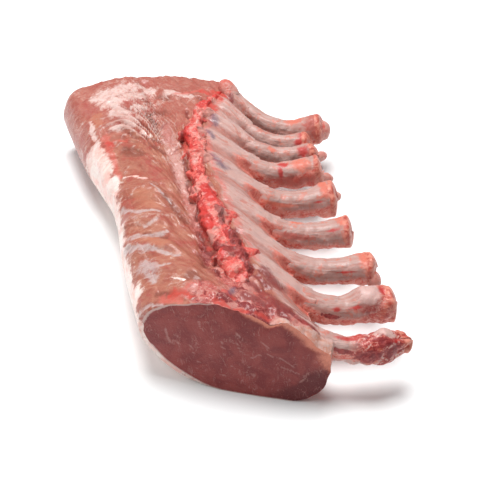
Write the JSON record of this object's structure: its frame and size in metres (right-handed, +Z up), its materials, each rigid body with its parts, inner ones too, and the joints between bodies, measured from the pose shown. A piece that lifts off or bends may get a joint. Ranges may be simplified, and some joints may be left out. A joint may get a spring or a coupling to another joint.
{
  "type": "raw frenched pork rack",
  "caption": "Raw pork rack: a piece of loin holding a row of bared rib bones, lying on its back fat with the hollow side of the ribs up.",
  "frame": {"origin": "middle of the bottom of the box, on the surface that the back fat rests on", "axes": "+X the way the bared bones point, +Y from the caudal cut face to the blade end, +Z up"},
  "size_m": [0.1827, 0.3048, 0.0697],
  "materials": {
    "lean": "moist, half gloss",
    "fat": "moist, half gloss",
    "marrow": "rough sawn bone",
    "bone": "smooth, moist"
  },
  "bodies": {
    "root": {"loin": "lean", "fat_cap": "fat", "chine": "marrow", "rib_1": "bone", "rib_2": "bone", "rib_3": "bone", "rib_4": "bone", "rib_5": "bone", "rib_6": "bone", "rib_7": "bone", "rib_8": "bone", "rib_9": "bone"}
  },
  "joints": []
}
